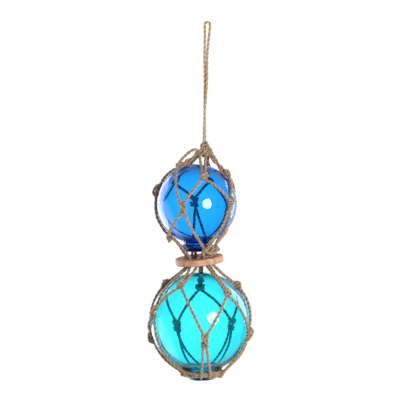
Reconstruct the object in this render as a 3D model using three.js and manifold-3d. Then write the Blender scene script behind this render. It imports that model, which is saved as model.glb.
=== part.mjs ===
import * as THREE from 'three';
import Module from 'manifold-3d';
import { mergeVertices } from 'three/addons/utils/BufferGeometryUtils.js';

// Two blown glass floats in one knotted jute net, hung one above the other on a jute loop, with a
// wooden ring between them. Millimetres, +Z up, the front towards -Y. The origin is the inside top
// of the loop, where a hook or nail carries it.

const wasm = await Module();
wasm.setup();

const degree = Math.PI / 180;
const gap = 0.3; // air between two pieces that touch

// Hanging loop
const loopCordDiameter = 3.0;
const loopDrop = 151.5; // from the hook down to the top of the gathering knot

// Gathering knot, above the upper float
const topKnotWidth = 12;
const topKnotHeight = 18;
const topKnotShift = 1.6; // to the right of the hook
const frontSpread = 8; // between the two cords that come down its front
const neckRise = 9.6; // open height between the knot and the upper float

// Floats
const upperFloatDiameter = 101.6;
const lowerFloatDiameter = 127;
const upperFloatShift = -5.9;
const lowerFloatShift = 3.6;
const upperFloatLean = 1.9; // degrees, the seal a little to the right
const lowerFloatLean = 4;
const sealNeckDiameter = 34;
const sealDiameter = 39.6;
const sealFootDiameter = 32;
const sealDrop = 9.6; // from the ball's lowest point to the seal's flat underside
const sealThickness = 8.2;
const sealLip = 1.2; // straight edge at the seal's widest
const sealFillet = 0.4; // rise from the seal's top edge to its neck

// Wooden ring
const ringOuterDiameter = 61;
const ringHoleDiameter = 38;
const ringThickness = 8.2;
const ringEdgeRadius = 1.8;
const ringLean = 7.4; // degrees, right side up
const ringNod = 5.6; // degrees, front down
const ringShift = -0.2;
const sealToRing = 6.5;
const ringToFloat = 10.8;

// Net
const netCordDiameter = 3.2;
const knotWidth = 9.8;
const knotThickness = 7.2;
const waistKnotHeight = 16.5;
const shoulderKnotHeight = 11.5;
const footKnotHeight = 9;
const footRingKnotSize = 5.4;
const stubLength = 8; // cut cord end that stands out of a knot
const holeSlack = 0.7; // between the cords and the wall of the ring's hole
const holeMouth = 1; // how far the cords keep straight past the ring's faces
const footRingSlack = 2.2; // between the lower seal and the cord ring round it
const footRingDrop = 2.8; // the cord ring's middle below the lower ball's lowest point

// Fineness of the faceted surfaces
const cordSides = 4;
const loopSides = 8;
const arcStep = 18 * degree;
const shortestStep = 0.8; // of a cord's route
const knotSides = 6;
const knotRows = 4;
const footRingSteps = 18;
const ballSides = 24;
const ringSides = 24;

const loopRadius = loopCordDiameter / 2;
const cordReach = 1.2 * netCordDiameter / 2; // corner of the section, so that its mean width is true
const pairSpacing = 2 * cordReach + gap; // between the middle lines of two cords that run together

const topKnotZ = -loopDrop - topKnotHeight / 2;
const upperFloat = {
  radius: upperFloatDiameter / 2,
  lean: upperFloatLean * degree,
  centre: new THREE.Vector3(
    upperFloatShift,
    0,
    topKnotZ - topKnotHeight / 2 - neckRise - upperFloatDiameter / 2,
  ),
};
const ringCentre = new THREE.Vector3(
  ringShift,
  0,
  upperFloat.centre.z - upperFloat.radius - sealDrop - sealToRing - ringThickness / 2,
);
const lowerFloat = {
  radius: lowerFloatDiameter / 2,
  lean: lowerFloatLean * degree,
  centre: new THREE.Vector3(
    lowerFloatShift,
    0,
    ringCentre.z - ringThickness / 2 - ringToFloat - lowerFloatDiameter / 2,
  ),
};
const topKnotCentre = new THREE.Vector3(topKnotShift, 0, topKnotZ);
const ringFrame = new THREE.Matrix4()
  .makeRotationFromEuler(new THREE.Euler(ringNod * degree, -ringLean * degree, 0))
  .setPosition(ringCentre);

const clearGlass = (color) => new THREE.MeshStandardMaterial({
  color,
  roughness: 0.03,
  metalness: 0,
  transparent: true,
  opacity: 0.55,
});
const juteMaterial = new THREE.MeshStandardMaterial({ color: 0xbe9673, roughness: 0.9, metalness: 0 });
const woodMaterial = new THREE.MeshStandardMaterial({ color: 0xc48a66, roughness: 0.6, metalness: 0 });

// A route whose steps fall on its own points
class CordPath extends THREE.CatmullRomCurve3 {
  constructor(points) {
    super(points, false, 'centripetal');
  }

  getUtoTmapping(u) {
    return u;
  }
}

function cordGeometry(points, reach, sides) {
  const corners = [];
  for (let i = 0; i < sides; i += 1) {
    const turn = 2 * Math.PI * i / sides;
    corners.push(new THREE.Vector2(reach * Math.cos(turn), reach * Math.sin(turn)));
  }
  return new THREE.ExtrudeGeometry(new THREE.Shape(corners), {
    steps: points.length - 1,
    extrudePath: new CordPath(points),
    bevelEnabled: false,
  });
}

function solidFrom(geometry) {
  geometry.deleteAttribute('normal');
  geometry.deleteAttribute('uv');
  const merged = mergeVertices(geometry);
  return new wasm.Manifold(new wasm.Mesh({
    numProp: 3,
    vertProperties: merged.attributes.position.array,
    triVerts: Uint32Array.from(merged.index.array),
  }));
}

function geometryFrom(solid) {
  const mesh = solid.getMesh();
  const geometry = new THREE.BufferGeometry();
  geometry.setAttribute('position', new THREE.BufferAttribute(mesh.vertProperties, 3));
  geometry.setIndex(new THREE.BufferAttribute(mesh.triVerts, 1));
  return geometry;
}

// Round a vertical axis: azimuth 0 at the front, positive to the right
function around(centre, azimuth, radius, height) {
  return new THREE.Vector3(
    centre.x + radius * Math.sin(azimuth * degree),
    centre.y - radius * Math.cos(azimuth * degree),
    centre.z + height,
  );
}

function onFloat(float, azimuth, latitude, lift) {
  const distance = float.radius + lift;
  const radius = distance * Math.cos(latitude * degree);
  return around(float.centre, azimuth, radius, distance * Math.sin(latitude * degree));
}

// The shortest way round the glass: straight, then along the ball, then straight
function tautRoute(start, end, float) {
  const reach = (float.radius + gap + cordReach) / Math.cos(arcStep / 2);
  const from = start.clone().sub(float.centre);
  const to = end.clone().sub(float.centre);
  const free = (arm) => Math.acos(Math.min(1, reach / arm.length()));
  const arc = from.angleTo(to) - free(from) - free(to);
  const points = [start];
  if (arc > 0) {
    const axis = from.clone().cross(to).normalize();
    const steps = Math.ceil(arc / arcStep);
    for (let i = 0; i <= steps; i += 1) {
      const turn = free(from) + arc * i / steps;
      points.push(from.clone().setLength(reach).applyAxisAngle(axis, turn).add(float.centre));
    }
  }
  points.push(end);
  return points.filter((point, i) => i === 0 || point.distanceTo(points[i - 1]) > shortestStep);
}

function netCord(points) {
  return solidFrom(cordGeometry(points, cordReach, cordSides));
}

// A knot is an egg-shaped lump that lies on the glass
function lump(centre, outward, width, thickness, height) {
  const out = outward.clone().normalize();
  const up = new THREE.Vector3(0, 0, 1).addScaledVector(out, -out.z).normalize();
  const side = up.clone().cross(out);
  const geometry = new THREE.SphereGeometry(1, knotSides, knotRows);
  geometry.scale(width / 2, height / 2, thickness / 2);
  geometry.applyMatrix4(new THREE.Matrix4().makeBasis(side, up, out).setPosition(centre));
  return solidFrom(geometry);
}

// A point at a depth below the float's middle, round the leaning line through its seal
function besideSeal(float, azimuth, radius, depth) {
  const axis = float.centre.clone().setX(float.centre.x + depth * Math.tan(float.lean));
  return around(axis, azimuth, radius, -depth);
}

// Knots of the net on the glass, as azimuth and latitude in degrees
const knotLift = gap + knotThickness / 2;
const upperKnots = {
  shoulderLeft: [-60, 63],
  shoulderFront: [11, 40],
  shoulderRight: [88, 46.5],
  shoulderBackRight: [151, 40],
  shoulderBackLeft: [-144, 35],
  waistFront: [-20, -4.5],
  waistRight: [50, 2],
  waistBackRight: [124, -6],
  waistBack: [-176, 3.5],
  waistLeft: [-88, 19],
  footLeft: [-82, -53],
};
const lowerKnots = {
  shoulderFrontLeft: [-33.5, 47.5],
  shoulderFrontRight: [37, 38],
  shoulderRight: [92, 45],
  shoulderBack: [-178, 43],
  shoulderLeft: [-97, 44],
  sideLeft: [-61, 12.5],
  waistFront: [5.5, -14.5],
  waistRight: [73, -9],
  waistBackRight: [139, -5.5],
  waistBackLeft: [-151, -10.5],
  waistLeft: [-95, -21],
};

// Foot knots beside the upper seal: azimuth, distance out from the seal's edge to the knot's middle
// in knot widths, and depth below the ball in thicknesses of the seal
const sealKnots = {
  footFront: [26, 0.45, 0.85],
  footRight: [74, 0.57, 0.61],
  footBackRight: [140, 0.57, 0.61],
  footBackLeft: [-172, 0.57, 0.61],
};

const upperPlace = {};
for (const [name, [azimuth, latitude]] of Object.entries(upperKnots)) {
  upperPlace[name] = onFloat(upperFloat, azimuth, latitude, knotLift);
}
for (const [name, [azimuth, out, depth]] of Object.entries(sealKnots)) {
  const reach = sealDiameter / 2 + out * knotWidth;
  upperPlace[name] = besideSeal(upperFloat, azimuth, reach, upperFloat.radius + depth * sealThickness);
}
const lowerPlace = {};
for (const [name, [azimuth, latitude]] of Object.entries(lowerKnots)) {
  lowerPlace[name] = onFloat(lowerFloat, azimuth, latitude, knotLift);
}

// A place in the gathering knot, in half widths and half heights from its middle
function inTopKnot(x, y, z) {
  const half = new THREE.Vector3(topKnotWidth, topKnotWidth, topKnotHeight).divideScalar(2);
  return new THREE.Vector3(x, y, z).multiply(half).add(topKnotCentre);
}

// Where the cords leave the gathering knot, two to each shoulder knot: the place between the two, and
// how far apart they start
const knotExits = {
  shoulderLeft: [[-0.92, -0.25, -0.61], pairSpacing],
  shoulderFront: [[-0.37, -0.67, -0.67], frontSpread],
  shoulderRight: [[1.03, -0.25, -0.5], pairSpacing],
  shoulderBackRight: [[0.5, 0.67, -0.56], pairSpacing],
  shoulderBackLeft: [[-0.58, 0.67, -0.56], pairSpacing],
};

// The lumps at its sides: place, and width and height in parts of the knot's own
const sideLumps = [
  [[1.05, -0.2, -0.5], 0.62, 0.61],
  [[-0.9, -0.23, -0.58], 0.63, 0.48],
];

// One cord each, from knot to knot over the glass
const upperMeshes = [
  ['shoulderLeft', 'waistLeft'],
  ['shoulderFront', 'waistFront'],
  ['shoulderFront', 'waistRight'],
  ['shoulderRight', 'waistRight'],
  ['shoulderRight', 'waistBackRight'],
  ['shoulderBackRight', 'waistBackRight'],
  ['shoulderBackRight', 'waistBack'],
  ['shoulderBackLeft', 'waistBack'],
  ['shoulderBackLeft', 'waistLeft'],
  ['waistFront', 'footLeft'],
  ['waistFront', 'footFront'],
  ['waistRight', 'footFront'],
  ['waistRight', 'footRight'],
  ['waistBackRight', 'footRight'],
  ['waistBackRight', 'footBackRight'],
  ['waistBack', 'footBackRight'],
  ['waistBack', 'footBackLeft'],
  ['waistLeft', 'footBackLeft'],
  ['waistLeft', 'footLeft'],
];
const lowerMeshes = [
  ['shoulderFrontLeft', 'sideLeft'],
  ['shoulderFrontLeft', 'waistFront'],
  ['shoulderFrontRight', 'waistFront'],
  ['shoulderFrontRight', 'waistRight'],
  ['shoulderRight', 'waistRight'],
  ['shoulderRight', 'waistBackRight'],
  ['shoulderBack', 'waistBackRight'],
  ['shoulderBack', 'waistBackLeft'],
  ['shoulderLeft', 'waistBackLeft'],
  ['shoulderLeft', 'waistLeft'],
  ['sideLeft', 'waistLeft'],
];

// Cords through the ring's hole: upper knot, azimuth at the hole's top, azimuth at its underside,
// lower knot
const throughRing = [
  ['footBackLeft', -145, -115, 'shoulderLeft'],
  ['footLeft', -84, -98, 'shoulderLeft'],
  ['footLeft', -66, -70, 'sideLeft'],
  ['footLeft', -48, -50, 'shoulderFrontLeft'],
  ['footFront', -4, -12, 'shoulderFrontLeft'],
  ['footFront', 16, 33, 'shoulderFrontRight'],
  ['footRight', 42, 50, 'shoulderFrontRight'],
  ['footRight', 75, 80, 'shoulderRight'],
  ['footBackRight', 115, 98, 'shoulderRight'],
  ['footBackRight', 140, 165, 'shoulderBack'],
  ['footBackLeft', -165, -178, 'shoulderBack'],
];

// Where each lower knot's legs reach the cord ring round the seal, as azimuths
const footLegs = {
  sideLeft: [-50],
  waistFront: [-2.5, 22],
  waistRight: [66, 95],
  waistBackRight: [124, 150],
  waistBackLeft: [-170, -140],
  waistLeft: [-112, -80],
};

// A loose cord that springs from the gathering knot in an arch and lies down over the upper float's
// front, as azimuth, latitude, and lift off the glass in parts of the neck's rise
const archPoints = [
  [11, 86, 1.61],
  [-26, 83, 1.95],
  [-40, 77, 1.83],
  [-49, 69, 1.51],
  [-52, 61, 1.2],
  [-50, 52, 0.83],
  [-39, 37, 0.354],
  [-31, 21, 0.302],
  [-24, 5, 0.333],
];

// Cut ends that stand out of the knots: which knot, and the way it points
const upperStubs = [
  ['shoulderLeft', [-1, -0.25, 0.05]],
  ['shoulderFront', [0.95, -0.35, 0.15]],
  ['shoulderRight', [0.9, -0.2, 0.5]],
  ['waistLeft', [-0.75, -0.2, -0.6]],
  ['footLeft', [-0.1, -0.2, -1]],
];
const lowerStubs = [
  ['shoulderFrontLeft', [-0.9, -0.5, -0.1]],
  ['shoulderRight', [0.95, -0.15, -0.2]],
  ['shoulderLeft', [-0.8, -0.1, -0.7]],
  ['waistRight', [0.7, -0.1, -0.75]],
  ['waistLeft', [-0.6, -0.1, -0.85]],
];

// Sideways from the run of a pair of cords, along the glass
function pairSide(from, to, centre) {
  const run = to.clone().sub(from);
  const out = from.clone().sub(centre);
  return run.cross(out).normalize();
}

function holePoint(azimuth, height) {
  const radius = ringHoleDiameter / 2 - cordReach - gap - holeSlack;
  return around(new THREE.Vector3(), azimuth, radius, height).applyMatrix4(ringFrame);
}

const footRingDepth = lowerFloat.radius + footRingDrop;
const footRingRadius = sealDiameter / 2 + gap + cordReach + footRingSlack;
const footRingKnots = [-58, 34, 110];
const footRingPoint = (azimuth) => besideSeal(lowerFloat, azimuth, footRingRadius, footRingDepth);
const footRingCentre = besideSeal(lowerFloat, 0, 0, footRingDepth);

function stubs(list, place) {
  return list.map(([name, direction]) => {
    const start = place[name];
    const way = new THREE.Vector3(...direction).setLength(stubLength);
    return netCord([start, start.clone().add(way)]);
  });
}

function knotLumps(place, centre) {
  return Object.entries(place).map(([name, middle]) => {
    const heights = { shoulder: shoulderKnotHeight, foot: footKnotHeight };
    const kind = Object.keys(heights).find((word) => name.startsWith(word));
    const height = kind ? heights[kind] : waistKnotHeight;
    const outward = middle.clone().sub(centre);
    if (name in sealKnots) {
      outward.setZ(0);
    }
    return lump(middle, outward, knotWidth, knotThickness, height);
  });
}

function makeNet() {
  const pieces = [];

  // Gathering knot: a tall lump with a shoulder on each side
  const ahead = new THREE.Vector3(0, -1, 0);
  pieces.push(lump(topKnotCentre, ahead, topKnotWidth, topKnotWidth, topKnotHeight));
  for (const [place, width, height] of sideLumps) {
    const thick = width * topKnotWidth;
    pieces.push(lump(inTopKnot(...place), ahead, thick, thick, height * topKnotHeight));
  }

  // Pairs of cords from the gathering knot to the shoulder knots
  for (const [name, [exit, spread]] of Object.entries(knotExits)) {
    const start = inTopKnot(...exit);
    const end = upperPlace[name];
    const side = pairSide(start, end, upperFloat.centre);
    for (const half of [-0.5, 0.5]) {
      const from = start.clone().addScaledVector(side, half * spread);
      const to = end.clone().addScaledVector(side, half * pairSpacing);
      pieces.push(netCord(tautRoute(from, to, upperFloat)));
    }
  }

  // The loose arch
  const arch = archPoints.map(([azimuth, latitude, rise]) => {
    return onFloat(upperFloat, azimuth, latitude, rise * neckRise);
  });
  pieces.push(netCord([...arch, upperPlace.waistFront]));

  // Meshes over both floats
  for (const [from, to] of upperMeshes) {
    pieces.push(netCord(tautRoute(upperPlace[from], upperPlace[to], upperFloat)));
  }
  for (const [from, to] of lowerMeshes) {
    pieces.push(netCord(tautRoute(lowerPlace[from], lowerPlace[to], lowerFloat)));
  }

  // Cords down through the ring
  const mouth = ringThickness / 2 + holeMouth;
  for (const [upper, topAzimuth, lowAzimuth, lower] of throughRing) {
    const way = [
      upperPlace[upper],
      holePoint(topAzimuth, mouth),
      holePoint((topAzimuth + lowAzimuth) / 2, 0),
    ];
    const below = tautRoute(holePoint(lowAzimuth, -mouth), lowerPlace[lower], lowerFloat);
    pieces.push(netCord([...way, ...below]));
  }

  // Legs to the cord ring round the lower seal, and that ring
  for (const [name, azimuths] of Object.entries(footLegs)) {
    azimuths.forEach((azimuth, i) => {
      const end = footRingPoint(azimuth);
      const side = pairSide(lowerPlace[name], end, lowerFloat.centre);
      const half = azimuths.length === 1 ? 0 : 0.5 - i;
      const start = lowerPlace[name].clone().addScaledVector(side, half * pairSpacing);
      pieces.push(netCord(tautRoute(start, end, lowerFloat)));
    });
  }
  const footRing = new THREE.TorusGeometry(footRingRadius, cordReach, cordSides, footRingSteps);
  footRing.translate(footRingCentre.x, footRingCentre.y, footRingCentre.z);
  pieces.push(solidFrom(footRing));
  for (const azimuth of footRingKnots) {
    const middle = footRingPoint(azimuth);
    const outward = middle.clone().sub(footRingCentre);
    pieces.push(lump(middle, outward, footKnotHeight, footRingKnotSize, footRingKnotSize));
  }

  pieces.push(...knotLumps(upperPlace, upperFloat.centre));
  pieces.push(...knotLumps(lowerPlace, lowerFloat.centre));
  pieces.push(...stubs(upperStubs, upperPlace));
  pieces.push(...stubs(lowerStubs, lowerPlace));
  const net = new THREE.Mesh(geometryFrom(wasm.Manifold.union(pieces)), juteMaterial);
  net.name = 'net';
  return net;
}

// A sealed ball with the thick glass button that closes it fused to its underside
function makeFloat(name, float, color) {
  const neckRadius = sealNeckDiameter / 2;
  const neckTurn = Math.asin(neckRadius / float.radius);
  const sealTop = -float.radius - sealDrop + sealThickness;
  const profile = [
    new THREE.Vector2(0, -float.radius - sealDrop),
    new THREE.Vector2(sealFootDiameter / 2, -float.radius - sealDrop),
    new THREE.Vector2(sealDiameter / 2, sealTop - sealLip),
    new THREE.Vector2(sealDiameter / 2, sealTop),
    new THREE.Vector2(neckRadius, sealTop + sealFillet),
  ];
  const rows = ballSides / 2;
  for (let i = 0; i <= rows; i += 1) {
    const turn = neckTurn + (Math.PI - neckTurn) * i / rows;
    const radius = i === rows ? 0 : float.radius * Math.sin(turn);
    profile.push(new THREE.Vector2(radius, -float.radius * Math.cos(turn)));
  }
  const geometry = new THREE.LatheGeometry(profile, ballSides);
  geometry.rotateX(Math.PI / 2);
  const mesh = new THREE.Mesh(geometry, clearGlass(color));
  mesh.name = name;
  mesh.position.copy(float.centre);
  mesh.rotation.y = -float.lean;
  return mesh;
}

function makeRing() {
  const inner = ringHoleDiameter / 2;
  const outer = ringOuterDiameter / 2;
  const half = ringThickness / 2;
  // Each corner's place, the way to its rounding's middle, and the angle where the rounding starts
  const corners = [
    [inner, -half, 1, 1, 180],
    [outer, -half, -1, 1, 270],
    [outer, half, -1, -1, 0],
    [inner, half, 1, -1, 90],
  ];
  const profile = [];
  for (const [radius, height, inward, upward, first] of corners) {
    for (const turn of [0, 90]) {
      const angle = (first + turn) * degree;
      profile.push(new THREE.Vector2(
        radius + inward * ringEdgeRadius + ringEdgeRadius * Math.cos(angle),
        height + upward * ringEdgeRadius + ringEdgeRadius * Math.sin(angle),
      ));
    }
  }
  profile.push(profile[0].clone());
  const geometry = new THREE.LatheGeometry(profile, ringSides);
  geometry.rotateX(Math.PI / 2);
  geometry.applyMatrix4(ringFrame);
  const mesh = new THREE.Mesh(geometry, woodMaterial);
  mesh.name = 'wood_ring';
  return mesh;
}

// The loop's cord, from the knot up, over the hook and down to the knot again. Its two runs lie side
// by side and make a slow third of a turn about each other.
const loopRoute = [
  [2.1, 1.4, -loopDrop + gap],
  [1.6, 1.5, -140],
  [0.8, 1.6, -125],
  [0.15, 1.65, -110],
  [-0.3, 1.5, -94],
  [-0.7, 1.2, -78],
  [-1.4, 0.8, -62],
  [-2.1, 0.4, -48],
  [-2.4, 0.15, -36],
  [-2.5, 0, -25],
  [-2.8, 0, -15],
  [-3.1, 0, -8],
  [-3.2, 0, -1.7],
  [-2.8, 0, -0.1],
  [-1.6, 0, 1.05],
  [0, 0, 1.5],
  [1.6, 0, 1.05],
  [2.8, 0, -0.1],
  [3.2, 0, -1.7],
  [3.1, 0, -8],
  [2.6, 0, -15],
  [1.9, 0, -25],
  [1.2, -0.15, -36],
  [1.1, -0.4, -48],
  [1.5, -0.8, -62],
  [1.7, -1.2, -78],
  [1.1, -1.5, -94],
  [0.25, -1.65, -110],
  [0.2, -1.6, -125],
  [0.25, -1.5, -140],
  [0.5, -1.4, -loopDrop + gap],
];

function makeLoop() {
  const points = loopRoute.map((point) => new THREE.Vector3(...point));
  const mesh = new THREE.Mesh(cordGeometry(points, loopRadius, loopSides), juteMaterial);
  mesh.name = 'hanging_loop';
  return mesh;
}

const floatBalls = new THREE.Group();
floatBalls.add(makeLoop());
floatBalls.add(makeNet());
floatBalls.add(makeFloat('upper_float', upperFloat, 0x1a8cff));
floatBalls.add(makeFloat('lower_float', lowerFloat, 0x2adcf5));
floatBalls.add(makeRing());

export default floatBalls;
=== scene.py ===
import math
import bmesh
import bpy
import numpy as np
from mathutils import Matrix, Vector


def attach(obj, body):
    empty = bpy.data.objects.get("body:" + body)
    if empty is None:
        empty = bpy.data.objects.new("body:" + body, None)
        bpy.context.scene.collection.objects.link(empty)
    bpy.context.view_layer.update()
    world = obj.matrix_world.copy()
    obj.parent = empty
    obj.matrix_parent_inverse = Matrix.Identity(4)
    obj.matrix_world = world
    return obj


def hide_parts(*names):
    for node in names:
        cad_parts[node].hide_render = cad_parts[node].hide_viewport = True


# A blue glass float over an aqua one in one knotted jute net, with a wooden ring between them, hung
# on a loop of the same twine. Sizes in the tables are millimetres and degrees; azimuth 0 is the
# front, and it grows to the right.

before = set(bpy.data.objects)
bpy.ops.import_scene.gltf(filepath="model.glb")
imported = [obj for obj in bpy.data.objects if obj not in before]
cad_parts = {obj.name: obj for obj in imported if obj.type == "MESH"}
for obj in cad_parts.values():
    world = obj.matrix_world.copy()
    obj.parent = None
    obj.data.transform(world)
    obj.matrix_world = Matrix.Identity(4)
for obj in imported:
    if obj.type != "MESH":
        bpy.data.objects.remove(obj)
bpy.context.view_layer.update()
mm = 0.001
chance = np.random.default_rng(11)
zAxis = np.array([0.0, 0.0, 1.0])

# Camera
cameraSetup = {"place": (-1.96, -1600, -224.73), "roll": 1.93, "lens": 113.4}
camera = bpy.data.cameras.new("camera")
camera.lens = cameraSetup["lens"]
cameraObject = bpy.data.objects.new("camera", camera)
cameraObject.location = Vector(cameraSetup["place"]) * mm
cameraObject.rotation_euler = (math.pi / 2, -math.radians(cameraSetup["roll"]), 0)
bpy.context.collection.objects.link(cameraObject)
bpy.context.scene.camera = cameraObject
print("camera placed")


# Twine: two plies twisted to the right
twineSetup = {
    "thickness": 3.9,
    "tight": 3.35,      # pulled tight in a knot
    "step": 1.0,        # between two rings of corners
    "plySides": 8,
    "pitch": 12.6,      # one whole turn of the plies
    "plyOut": 0.195,    # ply's middle, deep and wide radius, in parts of the thickness
    "plyDeep": 0.305,
    "plyWide": 0.355,
    "fibreTurn": 15.0,  # one turn of the fibres round a ply, against the plies
    "swell": 0.05,      # how uneven it is, and over what lengths
    "swellWaves": (2.6, 1.1),
    "wander": 0.13,     # how far it strays from its line
    "wanderWave": 3.7,
    "twistWave": 8,
    "clear": 0.25,      # left between a cord and the glass
    "rear": 1.08,       # the rear cords are fuller
    "coreReach": (0.5, 0.95),  # where painted shade darkens a knot inwards, in parts of its width
    "coreShade": 0.62,
}


def unit(vector):
    return np.asarray(vector, float) / np.linalg.norm(vector)


def smoothLine(points, step):
    points = np.asarray(points, float)
    gaps = np.linalg.norm(np.diff(points, axis=0), axis=1) ** 0.5
    marks = np.concatenate([[0], np.cumsum(gaps)])
    slopes = np.diff(points, axis=0) / gaps[:, None]
    leans = np.empty_like(points)
    leans[0], leans[-1] = slopes[0], slopes[-1]
    if len(points) > 2:
        wide = (points[2:] - points[:-2]) / (marks[2:] - marks[:-2])[:, None]
        leans[1:-1] = slopes[:-1] + slopes[1:] - wide
    t = np.linspace(0, 1, 12, endpoint=False)[:, None]
    dense = [
        (2 * t**3 - 3 * t**2 + 1) * points[i] + (t**3 - 2 * t**2 + t) * gap * leans[i]
        + (3 * t**2 - 2 * t**3) * points[i + 1] + (t**3 - t**2) * gap * leans[i + 1]
        for i, gap in enumerate(gaps)
    ]
    dense = np.concatenate(dense + [points[-1:]])
    run = np.concatenate([[0], np.cumsum(np.linalg.norm(np.diff(dense, axis=0), axis=1))])
    even = np.linspace(0, run[-1], max(4, round(run[-1] / step) + 1))
    return np.stack([np.interp(even, run, dense[:, k]) for k in range(3)], axis=1)


def carryFrame(line):
    along = np.gradient(line, axis=0)
    along /= np.linalg.norm(along, axis=1)[:, None]
    side = np.empty_like(line)
    current = np.eye(3)[np.argmin(np.abs(along[0]))]
    for i, way in enumerate(along):
        current = unit(current - way * (current @ way))
        side[i] = current
    return along, side, np.cross(along, side)


def showMesh(mesh):
    mesh.shade_smooth()
    made = bpy.data.objects.new(mesh.name, mesh)
    bpy.context.collection.objects.link(made)
    return made


def showForm(form, name):
    mesh = bpy.data.meshes.new(name)
    form.to_mesh(mesh)
    form.free()
    return showMesh(mesh)


class Skein:  # twine laid so far for one piece
    def __init__(self):
        self.corners, self.faces, self.fibres, self.shades, self.lines = [], [], [], [], []
        self.count = 0

    def addTube(self, rings, fibres, shades):
        rows, sides = rings.shape[:2]
        index = self.count + np.arange(rows * sides).reshape(rows, sides)
        turned = np.roll(index, -1, axis=1)
        quads = np.stack([index[:-1], turned[:-1], turned[1:], index[1:]], axis=-1).reshape(-1, 4)
        self.faces += quads.tolist() + [index[0, ::-1].tolist(), index[-1].tolist()]
        self.corners.append(rings.reshape(-1, 3))
        self.fibres.append(fibres.reshape(-1, 3))
        self.shades.append(shades.reshape(-1, 3))
        self.count += rows * sides

    def lay(self, route, thickness=twineSetup["thickness"], tone=None, core=None):
        setup = twineSetup
        line = smoothLine(route, setup["step"])
        along, side, across = carryFrame(line)
        run = np.concatenate([[0], np.cumsum(np.linalg.norm(np.diff(line, axis=0), axis=1))])
        start = chance.uniform(0, 2 * math.pi)
        tone = chance.uniform(0.45, 1.0) if tone is None else tone
        wander = setup["wander"] * np.sin(run / setup["wanderWave"] + start) * np.minimum(1, run / 8)
        line = line + side * wander[:, None]
        turn = 2 * math.pi * run / setup["pitch"] + start
        turn = turn + 0.4 * np.sin(run / setup["twistWave"] + start)
        longWave, shortWave = setup["swellWaves"]
        full = thickness * (1 + setup["swell"] * np.sin(run / longWave + 3 * start)
                            + 0.6 * setup["swell"] * np.sin(run / shortWave + start))
        theta = np.arange(setup["plySides"]) * 2 * math.pi / setup["plySides"]
        deep = setup["plyOut"] + setup["plyDeep"] * np.cos(theta)
        wide = setup["plyWide"] * np.sin(theta)
        for half in (0, math.pi):
            cosine, sine = np.cos(turn + half)[:, None], np.sin(turn + half)[:, None]
            outward = side * cosine + across * sine
            sideways = across * cosine - side * sine
            rings = outward[:, None] * deep[None, :, None] + sideways[:, None] * wide[None, :, None]
            rings = line[:, None] + rings * full[:, None, None]
            angle = theta[None, :] - 2 * math.pi * run[:, None] / setup["fibreTurn"] + half
            length = run[:, None] + 0 * angle
            fibres = np.stack([np.cos(angle), np.sin(angle), length + 40 * start], axis=-1)
            # crown: how far out on its ply a corner lies; the jute paints shade where it is low, in the
            # grooves between the plies
            crown = np.hypot(deep, wide)[None, :] * 2 + 0 * angle
            if core:  # painted shade: a knot is darker in the gaps between its turns
                middle, width, thick = core
                away = np.hypot((rings - middle) @ width, (rings - middle) @ thick)
                crown = crown * np.interp(away, setup["coreReach"], [setup["coreShade"], 1])
            shades = np.stack([crown, tone + 0 * angle, length], axis=-1)
            self.addTube(rings, fibres, shades)
        self.lines.append((line, along, side, across, thickness))

    def piece(self, name):
        mesh = bpy.data.meshes.new(name)
        mesh.from_pydata((np.concatenate(self.corners) * mm).tolist(), [], self.faces)
        for label, values in (("fibre", self.fibres), ("shade", self.shades)):
            layer = mesh.attributes.new(label, "FLOAT_VECTOR", "POINT")
            layer.data.foreach_set("vector", np.concatenate(values).astype(np.float32).ravel())
        return showMesh(mesh)


# Hanging loop: up from the knot, over the hook and down again
loopSetup = {
    "thickness": 3.0,
    "loft": 1.14,  # how far the plies stand out past that
    "length": 0.31,
    "route": [
        (2.1, 1.4, -151.2), (1.6, 1.5, -140), (0.8, 1.6, -125), (0.15, 1.65, -110),
        (-0.3, 1.5, -94), (-0.7, 1.2, -78), (-1.4, 0.8, -62), (-2.1, 0.4, -48),
        (-2.4, 0.15, -36), (-2.5, 0, -25), (-2.8, 0, -15), (-3.1, 0, -8), (-3.2, 0, -1.7),
        (-2.8, 0, -0.1), (-1.6, 0, 1.05), (0, 0, 1.5), (1.6, 0, 1.05), (2.8, 0, -0.1),
        (3.2, 0, -1.7), (3.1, 0, -8), (2.6, 0, -15), (1.9, 0, -25), (1.2, -0.15, -36),
        (1.1, -0.4, -48), (1.5, -0.8, -62), (1.7, -1.2, -78), (1.1, -1.5, -94),
        (0.25, -1.65, -110), (0.2, -1.6, -125), (0.25, -1.5, -140), (0.5, -1.4, -151.2),
    ],
}
loopSkein = Skein()
loopSkein.lay(loopSetup["route"], loopSetup["thickness"] * loopSetup["loft"], 0)
loopPiece = loopSkein.piece("loop_twine")
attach(loopPiece, "root")
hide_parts("hanging_loop")
print("hanging loop laid")


# Places of the floats, the ring and the knots
upperFloat = {"centre": np.array([-5.9, 0, -229.9]), "radius": 50.8, "lean": 1.9}
lowerFloat = {"centre": np.array([3.6, 0, -379.3]), "radius": 63.5, "lean": 4.0}
ringSetup = {
    "centre": (-0.2, 0, -300.9),
    "nod": 5.6,
    "lean": 7.4,
    "outer": 61,
    "hole": 38,
    "thickness": 8.2,
    "edge": 1.5,
    "gap": 1,  # left between the cords and the wood
}
ringPlace = (
    Matrix.Translation(ringSetup["centre"])
    @ Matrix.Rotation(math.radians(ringSetup["nod"]), 4, "X")
    @ Matrix.Rotation(-math.radians(ringSetup["lean"]), 4, "Y")
)
knotSetup = {
    "lift": 3.5,
    "width": 10.2,
    "uneven": (0.94, 1.06),
    "rearWidth": 1.42,   # the rear ones are fuller
    "thick": 7.2,
    "waistHeight": 17.5,
    "shoulderHeight": 12.5,
    "footHeight": 9.6,
    "stub": 6.6,
    "sealRadius": 19.8,
    "mouthInside": (0.12, 0.4),  # where a cord enters, in parts of the height, and outwards
    "mouthEdge": (0.34, -1.2),
}
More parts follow.
